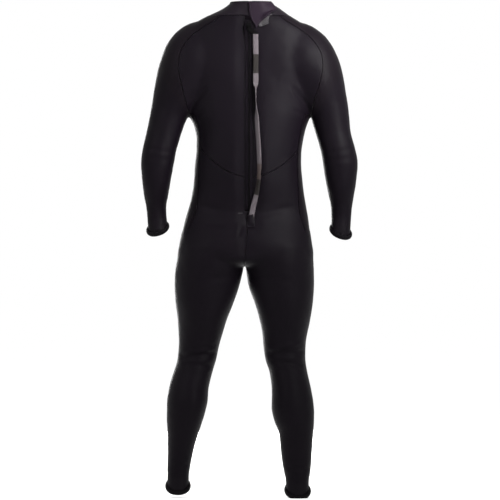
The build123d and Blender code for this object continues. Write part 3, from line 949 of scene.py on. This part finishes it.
MATERIALS = {
    "neoprene": neoprene("neoprene_jersey", (0.0018, 0.0011, 0.0021), (0.0034, 0.0022, 0.0039)),
    "stretch": neoprene("stretch_jersey", (0.0020, 0.0012, 0.0021), (0.0037, 0.0024, 0.0039), scale=460.0),
    "collar": neoprene("collar_jersey", (0.0042, 0.0030, 0.0045), (0.0064, 0.0047, 0.0069)),
    "tab": neoprene("tab_jersey", (0.0070, 0.0042, 0.0075), (0.0102, 0.0062, 0.0108)),
    "cuff": neoprene("cuff_jersey", (0.0023, 0.0016, 0.0026), (0.0040, 0.0029, 0.0044)),
    "knee": neoprene("knee_jersey", (0.0025, 0.0019, 0.0027), (0.0038, 0.0030, 0.0041), 0.55, 300.0),
    # The hem material also gives the bindings beside the zip's opening their dark tone, which is painted
    # shade of the gap.
    "hem": neoprene("hem_binding", (0.0014, 0.0011, 0.0016), (0.0026, 0.0020, 0.0028), 0.6, 520.0),
    # The seam thread is lighter than the cloth. Part of this is the thread's own tone, and part is a painted
    # highlight of seams catching light, laid over the shade of the seam grooves.
    "thread": knit(node_material("seam_thread_and_sheen", (0.003, 0.002, 0.003), 0.5, 0.1), (0.0060, 0.0048, 0.0066),
                   (0.0140, 0.0115, 0.0150), 900.0, 0.8),
    "tack": knit(node_material("tack_thread", (0.03, 0.028, 0.03), 0.5, 0.1), (0.014, 0.013, 0.014),
                 (0.030, 0.028, 0.030), 900.0, 0.8),
    "tape": webbing("zip_tape_weave", (0.0022, 0.0015, 0.0025), (0.0040, 0.0028, 0.0045), 0.03),
    "light_web": webbing("strap_light_grey", (0.052, 0.043, 0.049), (0.082, 0.070, 0.077), 0.2),
    "dark_web": webbing("strap_dark_olive", (0.0070, 0.0056, 0.0052), (0.0126, 0.0102, 0.0094), 0.12),
    "tan_web": webbing("strap_brown_tan", (0.0380, 0.0270, 0.0256), (0.0600, 0.0450, 0.0430), 0.15),
    "teeth": moulded("zip_teeth_plastic", (0.0010, 0.0009, 0.0010), 0.42, 0.06),
    "metal": moulded("slider_painted_metal", (0.0010, 0.0009, 0.0010), 0.40, 0.03),
    "loop": knit(node_material("loop_pile", (0.003, 0.003, 0.003), 0.85, 0.05), (0.0022, 0.0020, 0.0024),
                 (0.0050, 0.0046, 0.0052), 700.0, 1.0),
    "hook": knit(node_material("hook_tape", (0.06, 0.06, 0.06), 0.5, 0.2), (0.036, 0.034, 0.036),
                 (0.070, 0.066, 0.070), 800.0, 1.0),
}


def dress(obj, *names):
    for name in names:
        obj.data.materials.append(MATERIALS[name])


def piece(name, mesh, looks, body, node=None):
    """A finished piece: its looks, the body it rides on and the node it replaces."""
    obj = new_object(name, mesh)
    dress(obj, *looks)
    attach(obj, body)
    if node:
        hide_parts(node)


# ------------------------------------------------------------------------------------ panels in the frame


def panel_look(node):
    """The panel's material, and the record's slot of the same finish, which the script returns but does not
    use.
    """
    if "cuff" in node:
        return "cuff", "cuff_neoprene"
    if node == "collar_band":
        return "collar", "collar_neoprene"
    if node.endswith("knee_pad"):
        return "knee", "knee_pad"
    if node.endswith("side_panel") or node.endswith("shoulder_panel"):
        return "stretch", "stretch_neoprene"
    return "neoprene", "neoprene"


def settle(obj, node):
    """Parents a panel to the empty of the body it rides on; a panel that spans a joint only has its placement
    baked into its mesh.
    """
    side = node.split("_")[0]
    part = node[len(side) + 1:]
    if part in ("shoulder_panel", "upper_sleeve"):
        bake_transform(obj)
    elif part == "elbow_panel":
        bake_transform(obj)
    elif part in ("forearm_sleeve", "wrist_cuff"):
        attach(obj, f"{side}_forearm")
    elif part in ("seat_panel", "groin_panel", "thigh_back_panel", "thigh_front_panel"):
        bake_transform(obj)
    elif part in ("knee_pad", "knee_back_panel"):
        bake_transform(obj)
    elif part in ("shin_panel", "calf_panel", "ankle_cuff"):
        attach(obj, f"{side}_shin")
    else:
        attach(obj, "torso")


def make_panels():
    skin = whole_skin()
    shape_skin(skin)
    tree = BVHTree.FromPolygons([v.co for v in skin.vertices], [list(p.vertices) for p in skin.polygons])
    panels, seams, points, normals = split_skin(skin)
    for node, faces in sorted(panels.items()):
        own = [(a, b) for owner, a, b in seams if owner == node]
        obj = new_object(f"{node}_cloth", panel_mesh(node, faces, points, normals, own))
        look, slot = panel_look(node)
        dress(obj, look, "thread")
        settle(obj, node)
        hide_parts(node)
    return panels, points, tree


# ---------------------------------------------------------------------------------------- hems and edges


def loops_near(panels, points, node, test):
    """The points around one open end of a panel, in order."""
    sides = {}
    for face in panels[node]:
        for a, b in zip(face, face[1:] + face[:1]):
            sides[(a, b)] = True
    edges = [(a, b) for a, b in sides if (b, a) not in sides and test(points[a]) and test(points[b])]
    return max(chains(edges), key=len)


def closed_bead(path, radius_out, radius_along, axis):
    """A rolled hem: a closed tube round an opening."""
    points, faces = [], []
    count = len(path)
    middle = sum(path, Vector()) / count
    for i in range(count):
        out = path[i] - middle
        out = (out - axis * out.dot(axis)).normalized()
        for j in range(HEM_SIDES):
            angle = 2 * math.pi * j / HEM_SIDES
            outwards = out * (radius_out * math.cos(angle))
            points.append(path[i] + outwards + axis * (radius_along * math.sin(angle)))
    for i in range(count):
        here, after = i * HEM_SIDES, (i + 1) % count * HEM_SIDES
        for j in range(HEM_SIDES):
            k = (j + 1) % HEM_SIDES
            faces.append((here + j, here + k, after + k, after + j))
    return points, faces


def smoothed(path, times):
    for _ in range(times):
        path = [(path[i - 1] + path[i] * 2 + path[(i + 1) % len(path)]) / 4 for i in range(len(path))]
    return path


def make_hems(panels, points):
    """A rolled hem at each wrist and ankle."""
    for mount, plane in CUFF_PLANES.items():
        side, place = mount.split("_")
        node = f"{side}_{place}_cuff"
        rim = plane["ends"][1]
        axis = plane["axis"]
        run = loops_near(panels, points, node, lambda p: abs((Vector(p) - rim).dot(axis)) < 0.002)
        path = smoothed([Vector(points[i]) for i in run[:-1]], 4)
        middle = sum(path, Vector()) / len(path)
        path = [p + (p - middle).normalized() * 0.0010 - axis * 0.0025 for p in path]
        mesh = facing_out(mesh_from(f"{node}_hem", *closed_bead(path, 0.0046, 0.0074, axis)))
        body = f"{side}_forearm" if place == "wrist" else f"{side}_shin"
        piece(f"{node}_hem", shade_smooth(mesh), ["hem"], body)


def make_collar_binding(panels, points):
    """The bound edge round the neck, open at the slit."""
    run = loops_near(panels, points, "collar_band", lambda p: abs(p[2]) < 0.002)
    path = eased([Vector(points[i]) for i in run], 6)
    inwards = [Vector((-p.x, -p.y, 0)).normalized() for p in path]
    path = [p + inward * 0.0014 for p, inward in zip(path, inwards)]
    mesh = mesh_from("collar_binding", *bead(path, [Vector((0, 0, 1))] * len(path), 0.0022, 0.8))
    piece("collar_binding", shade_smooth(mesh), ["hem"], "torso")


# ------------------------------------------------------------------------------------------------ the zip


def on_zip(x, drop, height):
    """A point at that height above the closed zip's arc, with the arc's outward direction."""
    turn = math.asin((-ZIP_CENTRE.z - drop) / ZIP_RADIUS)
    out = Vector((0, math.cos(turn), math.sin(turn)))
    middle = Vector((x, ZIP_CENTRE.y, ZIP_CENTRE.z))
    return middle + out * (ZIP_RADIUS + height), out


def strip(name, across, drops, thickness):
    """A cloth strip along the zip; across gives (x, height) points from one edge to the other."""
    points, faces = [], []
    width = len(across)
    for drop in drops:
        for x, height in across:
            points.append(on_zip(x, drop, height)[0])
    for i in range(len(drops) - 1):
        for j in range(width - 1):
            a = i * width + j
            faces.append((a, a + 1, a + 1 + width, a + width))
    obj = new_object(name, shade_smooth(mesh_from(name, points, faces)))
    solid = obj.modifiers.new("thickness", "SOLIDIFY")
    solid.thickness = thickness
    solid.offset = 0
    return evaluated(obj)


def make_zip_cloth():
    drops = list(np.linspace(ZIP_TOP_DROP - 0.004, ZIP_BOTTOM_DROP + 0.002, 190))
    for side, sign in (("left", 1), ("right", -1)):
        profile = ((0.0009, -0.0002), (0.004, -0.0004), (0.009, -0.0008), (0.0175, -0.0034))
        across = [(ZIP_X + sign * x, height) for x, height in profile]
        name = f"{side}_zip_tape_cloth"
        piece(name, strip(name, across, drops, 0.0007), ["tape"], "torso", f"{side}_zip_tape")
        # Along each edge of the opening: a bound edge in the darker hem material, which also stands in for
        # the shadow in the gap beside the zip. It is partly real binding and partly painted shade.
        edge_drops = np.linspace(COLLAR_DROP + 0.002, SLOT_END_DROP - 0.002, 200)
        edge = ZIP_X + sign * (ZIP_HALF_SLOT + 0.0006)
        wide = [edge + (gape(edge, drop) if side == "left" else 0) for drop in edge_drops]
        path, ups = zip(*[on_zip(x, drop, -0.0008) for x, drop in zip(wide, edge_drops)])
        name = f"{side}_placket_binding_with_gap_shade"
        mesh = mesh_from(name, *bead(list(path), list(ups), 0.0016))
        piece(name, shade_smooth(mesh), ["hem"], "torso")
    across = [(ZIP_X + x, -0.0062) for x in np.linspace(-0.031, 0.031, 9)]
    flap = strip("zip_flap_cloth", across, list(np.linspace(0.054, 0.643, 120)), 0.0016)
    piece("zip_flap_cloth", flap, ["hem"], "torso", "zip_inner_flap")


def tooth_shape():
    """One moulded tooth: a head that hooks the far row and a neck on the tape."""
    bm = bmesh.new()
    bmesh.ops.create_cube(bm, size=1)
    for v in bm.verts:
        v.co.x *= 0.0030
        v.co.y *= 0.0026
        v.co.z *= 0.0014 if v.co.x < 0 else 0.0019
    bmesh.ops.bevel(bm, geom=bm.edges, offset=0.0003, segments=1, affect="EDGES")
    bm.verts.index_update()
    points = [v.co.copy() for v in bm.verts]
    faces = [[v.index for v in f.verts] for f in bm.faces]
    bm.free()
    return points, faces


def make_teeth():
    shape, shape_faces = tooth_shape()
    count = int((ZIP_BOTTOM_DROP - ZIP_TOP_DROP - 0.012) / TOOTH_PITCH)
    for side, sign, shift in (("left", 1, 0.0), ("right", -1, 0.5)):
        points, faces = [], []
        for i in range(count):
            drop = ZIP_TOP_DROP + 0.006 + (i + shift) * TOOTH_PITCH
            centre, out = on_zip(ZIP_X + sign * 0.0014, drop, 0.0001)
            down = Vector((0, out.z, -out.y))
            base = len(points)
            points += [centre + Vector((-sign * p.x, 0, 0)) + out * p.y + down * p.z for p in shape]
            turned = [f if sign < 0 else list(reversed(f)) for f in shape_faces]
            faces += [[base + k for k in f] for f in turned]
        mesh = mesh_from(f"{side}_teeth_row", points, faces)
        piece(f"{side}_teeth_row", mesh, ["teeth"], "torso", f"{side}_zip_teeth")


# --------------------------------------------------------------------------------------- the pull strap

STRAP_WIDTH = 0.016
STRAP_THICKNESS = 0.0014
STRAP_ROUTE = mm([
    (-13.5, 85.5, 100),
    (-14.6, 92.0, 140),
    (-14.0, 99.0, 215),
    (-14.5, 105.0, 300),
    (-18.0, 107.0, 370),
    (-23.5, 105.5, 445),
    (-25.5, 100.5, 515),
    (-18.0, 92.5, 575),
    (-5.0, 86.0, 622),
    (0.0, 90.0, 655),
])
STRAP_TURN = [(0.0, 0), (0.245, 8), (0.262, 78), (0.300, 92), (0.330, 104), (0.352, 138), (0.48, 142),
              (0.520, 128), (0.565, 140), (0.60, 152), (0.645, 180), (0.70, 180)]
# The webbing's shades along its length: down to that drop, then the material.
STRAP_BANDS = [(0.162, 0), (0.218, 1), (0.490, 0), (0.536, 2), (0.582, 1), (0.646, 0), (0.700, 1)]


def curve_points(route, closeness):
    """Points along one smooth curve that has the route as its control points."""
    data = bpy.data.curves.new("route", "CURVE")
    data.dimensions = "3D"
    data.resolution_u = closeness
    spline = data.splines.new("NURBS")
    spline.points.add(len(route) - 1)
    for point, place in zip(spline.points, route):
        point.co = (*place, 1)
    spline.order_u = 3
    spline.use_endpoint_u = True
    obj = new_object("route", data)
    mesh = bpy.data.meshes.new_from_object(obj)
    points = [v.co.copy() for v in mesh.vertices]
    bpy.data.objects.remove(obj)
    bpy.data.curves.remove(data)
    bpy.data.meshes.remove(mesh)
    return points


def make_strap():
    route = [(x, y, -drop) for x, y, drop in STRAP_ROUTE]
    path = curve_points(route, 24)
    turns = np.array(STRAP_TURN)
    points, slots = [], []
    across = [(-0.5, -0.5), (-0.25, -0.5), (0, -0.5), (0.25, -0.5), (0.5, -0.5),
              (0.5, 0.5), (0.25, 0.5), (0, 0.5), (-0.25, 0.5), (-0.5, 0.5)]
    sides = len(across)
    for i, place in enumerate(path):
        ahead = (path[min(i + 1, len(path) - 1)] - path[max(i - 1, 0)]).normalized()
        turn = math.radians(float(np.interp(-place.z, turns[:, 0], turns[:, 1])))
        side = Vector((1, 0, 0))
        side = (side - ahead * side.dot(ahead)).normalized()
        out = side.cross(ahead)
        side, out = side * math.cos(turn) + out * math.sin(turn), out * math.cos(turn) - side * math.sin(turn)
        for a, b in across:
            crown = 0.0004 * math.cos(a * math.pi) * b * 2
            points.append(place + side * (a * STRAP_WIDTH) + out * (b * STRAP_THICKNESS + crown))
    for i in range(len(path) - 1):
        drop = -(path[i].z + path[i + 1].z) / 2
        slots += [next(shade for end, shade in STRAP_BANDS if drop < end)] * sides
    slots += [0, 1]
    mesh = mesh_from("pull_strap_webbing", points, tube_faces(len(path), sides))
    mesh.polygons.foreach_set("material_index", slots)
    shade_smooth(mesh)
    strap = new_object("pull_strap_webbing", mesh)
    dress(strap, "light_web", "dark_web", "tan_web")
    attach(strap, "torso")
    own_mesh(strap)
    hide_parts("pull_strap")
    return path


# ------------------------------------------------------------------------------ the collar's tab and patches

# The tab's outline: drop, x of the edge at the slit, x of the free edge.
TAB_SIDES = mm([
    (-2, 6.6, -55),
    (12, 6.6, -67),
    (24, 6.4, -74),
    (36, 5, -66),
    (47, 2, -54),
    (60, -3, -51),
    (70, -10, -51),
    (84, -17, -51),
])
TAB_TOP_DROP = 0.0005
TAB_FOOT_DROP = 0.082
TAB_FOOT_RISE = 0.033
PATCH_FOOT_RISE = 0.0085
TAB_HEIGHT = 0.0042
TAB_THICKNESS = 0.0028
CORNER_LIFT = 0.0120
EDGE_LINES = [0.0, 0.012, 0.035, 0.07]


def sheet_lines(count):
    """Places across a sheet from 0 to 1, closer together at its edges."""
    far_edge = [1 - line for line in reversed(EDGE_LINES)]
    return np.array([*EDGE_LINES, *np.linspace(0.12, 0.88, count), *far_edge])


def on_back(tree, x, drop):
    """A point of the suit's back, with the smooth direction away from it."""
    def hit(x, drop):
        return tree.ray_cast(Vector((x, 1, -drop)), Vector((0, -1, 0)))[0]

    step = 0.004
    point = hit(x, drop)
    across = (hit(x + step, drop) or point) - (hit(x - step, drop) or point)
    down = (hit(x, drop + step) or point) - (hit(x, drop - step) or point)
    return point, across.cross(down).normalized()


def smooth_step(value, start, end):
    t = min(1.0, max(0.0, (value - start) / (end - start)))
    return t * t * (3 - 2 * t)


def tab_grid(tree, across, down, rise):
    """The middle of the tab, its lower free corner turned up; rise is how far its foot slants up."""
    rows = []
    for v in down:
        row = []
        for u in across:
            drop = TAB_TOP_DROP + v * (TAB_FOOT_DROP - rise * u - TAB_TOP_DROP)
            slit, free = curve_through(TAB_SIDES, np.array([drop]))[:, 0]
            point, out = on_back(tree, slit + (free - slit) * u, drop)
            lift = CORNER_LIFT * smooth_step(u, 0.5, 1.0) * smooth_step(v, 0.5, 0.95)
            row.append(point + out * (TAB_HEIGHT + lift))
        rows.append(row)
    return np.array(rows)


def sheet_directions(grid):
    out = np.cross(np.gradient(grid, axis=0), np.gradient(grid, axis=1))
    return out / np.linalg.norm(out, axis=2)[:, :, None]


def sheet_mesh(name, grid, across, down, thickness, stitch=0.0006):
    """A cloth sheet about a grid of middle points, with eased edges and a line of stitches inside them."""
    out = sheet_directions(grid)
    rows, columns = grid.shape[:2]
    edge = np.minimum.outer(np.minimum(down, 1 - down), np.minimum(across, 1 - across))
    half = (thickness / 2 * np.interp(edge, EDGE_LINES[:3], [0.5, 0.85, 1.0]))[:, :, None]
    top, bottom = grid + out * half, grid - out * half
    points = [*top.reshape(-1, 3), *bottom.reshape(-1, 3)]
    count = rows * columns
    faces, slots = [], []
    for i in range(rows - 1):
        for j in range(columns - 1):
            a, b = i * columns + j, (i + 1) * columns + j
            faces += [(a, b, b + 1, a + 1), (count + a, count + a + 1, count + b + 1, count + b)]
            slots += [0, 0]
    ring = [(0, j) for j in range(columns)] + [(i, columns - 1) for i in range(1, rows)]
    ring += [(rows - 1, j) for j in range(columns - 2, -1, -1)] + [(i, 0) for i in range(rows - 2, 0, -1)]
    ring = [i * columns + j for i, j in ring]
    for a, b in zip(ring, ring[1:] + ring[:1]):
        faces.append((a, b, b + count, a + count))
        slots.append(1)
    inset, far_row, far_column = len(EDGE_LINES) - 1, rows - len(EDGE_LINES), columns - len(EDGE_LINES)
    line = [(inset, j) for j in range(inset, far_column)] + [(i, far_column) for i in range(inset, far_row)]
    line += [(far_row, j) for j in range(far_column, inset, -1)]
    line += [(i, inset) for i in range(far_row, inset - 1, -1)]
    path = [Vector(top[i, j]) for i, j in line]
    ups = [Vector(out[i, j]) for i, j in line]
    bead_points, bead_faces = bead(path, ups, stitch, 0.7)
    faces += [tuple(i + len(points) for i in face) for face in bead_faces]
    slots += [2] * len(bead_faces)
    mesh = mesh_from(name, [*points, *bead_points], faces)
    mesh.polygons.foreach_set("material_index", slots)
    mesh.polygons.foreach_set("use_smooth", [slot != 1 for slot in slots])
    return mesh


def make_tab(tree):
    across, down = sheet_lines(22), sheet_lines(26)
    grid = tab_grid(tree, across, down, TAB_FOOT_RISE)
    mesh = sheet_mesh("collar_tab_cloth", grid, across, down, TAB_THICKNESS)
    piece("collar_tab_cloth", mesh, ["tab", "hem", "thread"], "collar_tab", "collar_tab")
    grid = tab_grid(tree, 0.30 + 0.70 * across, 0.52 + 0.46 * down, PATCH_FOOT_RISE)
    grid = grid - sheet_directions(grid) * (TAB_THICKNESS / 2 + 0.0006)
    mesh = sheet_mesh("hook_patch_cloth", grid, across, down, 0.0011, 0.0004)
    piece("hook_patch_cloth", mesh, ["hook", "hook", "thread"], "collar_tab", "tab_hook_patch")


def back_grid(tree, start_x, end_x, start_drop, end_drop, height):
    """A grid laid on the back; height gives the lift above it from x, drop and the point below."""
    across, down = sheet_lines(12), sheet_lines(12)
    rows = []
    for v in down:
        drop = start_drop + (end_drop - start_drop) * v
        row = []
        for u in across:
            x = start_x + (end_x - start_x) * u
            point, out = on_back(tree, x, drop)
            row.append(point + out * height(x, drop, point))
        rows.append(row)
    return np.array(rows), across, down


def make_patches(tree, strap_path):
    """The loop patch that the tab hooks on, and the patch that holds the strap's foot."""
    grid, across, down = back_grid(tree, -0.014, -0.050, 0.006, 0.036, lambda x, drop, point: 0.0008)
    mesh = sheet_mesh("loop_patch_cloth", grid, across, down, 0.0010, 0.0004)
    piece("loop_patch_cloth", mesh, ["loop", "loop", "thread"], "torso", "collar_loop_patch")
    drops = [-p.z for p in strap_path]
    backs = [p.y for p in strap_path]

    def over_strap(x, drop, point):
        strap_back = np.interp(drop, drops, backs) + 0.0016
        return 0.0010 + max(0.0, strap_back - point.y) * math.exp(-((x / 0.0105) ** 6))

    grid, across, down = back_grid(tree, 0.0125, -0.0125, 0.643, 0.680, over_strap)
    mesh = sheet_mesh("strap_keeper_cloth", grid, across, down, 0.0014, 0.0005)
    looks = ["neoprene", "hem", "thread"]
    piece("strap_keeper_cloth", mesh, looks, "torso", "strap_keeper_patch")


def make_bar_tacks(tree):
    """Short dense rows of thread where the zip's opening ends."""
    for name, look, start, end, drop in (("zip_foot_tack", "thread", -0.008, 0.020, SLOT_END_DROP + 0.002),
                                         ("placket_tack", "tack", 0.025, 0.038, SLOT_END_DROP + 0.006)):
        places = [on_back(tree, x, drop) for x in np.linspace(start, end, 24)]
        path = [point + out * 0.0008 for point, out in places]
        mesh = mesh_from(name, *bead(path, [out for _, out in places], 0.0015, 0.5))
        piece(name, shade_smooth(mesh), [look], "torso")


def finish_hard_parts():
    """The slider, its puller and the stops keep their CAD shape and take moulded materials."""
    for node, look in (("zip_slider", "metal"), ("zip_puller", "metal"), ("left_top_stop", "teeth"),
                       ("right_top_stop", "teeth"), ("zip_bottom_stop", "teeth")):
        obj = frame["nodes"][node]
        for slot in obj.material_slots:
            slot.material = MATERIALS[look]


# ------------------------------------------------------------------------------------------ camera, light


CAMERA_X = 0.003
CAMERA_DROP = 0.747
CAMERA_DISTANCE = 9.0
VIEW_HEIGHT = 1.512
SENSOR = 36
FLOOR_REACH = 40.0

# Lamps: name, place, what it is aimed at, size, power in watts, and the spread of its beam in degrees.
LAMPS = [
    ("key", (-1.45, 1.45, 0.80), (-0.16, 0, -0.13), 0.7, 10.5, 34),
    ("fill", (1.8, 1.8, 0.7), (0, 0, -0.5), 1.0, 30, 180),
    ("low", (-1.6, 2.2, -0.2), (0, 0, -0.9), 1.4, 30, 180),
    ("front", (0.5, -3.2, -0.3), (0, 0, -0.6), 2.0, 130, 180),
]


def make_stage():
    """The camera behind the suit, an even white world, a pale floor and the lamps."""
    data = bpy.data.cameras.new("camera")
    data.sensor_width = SENSOR
    data.lens = SENSOR * CAMERA_DISTANCE / VIEW_HEIGHT
    camera = bpy.data.objects.new("camera", data)
    bpy.context.scene.collection.objects.link(camera)
    camera.location = (CAMERA_X, CAMERA_DISTANCE, -CAMERA_DROP)
    camera.rotation_euler = (math.radians(90), 0, math.radians(180))
    bpy.context.scene.camera = camera
    world = bpy.data.worlds.new("studio")
    world.use_nodes = True
    world.node_tree.nodes["Background"].inputs["Color"].default_value = (1, 1, 1, 1)
    world.node_tree.nodes["Background"].inputs["Strength"].default_value = 1.0
    bpy.context.scene.world = world
    bpy.context.scene.view_settings.view_transform = "Standard"
    floor_z = cad_box[0][2] - 0.002
    corners = [(x * FLOOR_REACH, y * FLOOR_REACH, floor_z) for x, y in ((-1, -1), (1, -1), (1, 1), (-1, 1))]
    floor = new_object("floor", mesh_from("floor", corners, [(0, 1, 2, 3)]))
    floor.data.materials.append(node_material("pale_floor", (1.0, 1.0, 1.0), 0.9, 0.0))
    for name, place, aim, size, power, spread in LAMPS:
        light = bpy.data.lights.new(name, "AREA")
        light.size = size
        light.energy = power
        light.spread = math.radians(spread)
        lamp = bpy.data.objects.new(name, light)
        lamp.location = place
        lamp.rotation_euler = (Vector(aim) - Vector(place)).to_track_quat("-Z", "Y").to_euler()
        bpy.context.scene.collection.objects.link(lamp)


make_stage()
panels, points, tree = make_panels()
make_hems(panels, points)
make_collar_binding(panels, points)
make_zip_cloth()
make_teeth()
strap_path = make_strap()
make_tab(tree)
make_patches(tree, strap_path)
make_bar_tacks(tree)
finish_hard_parts()
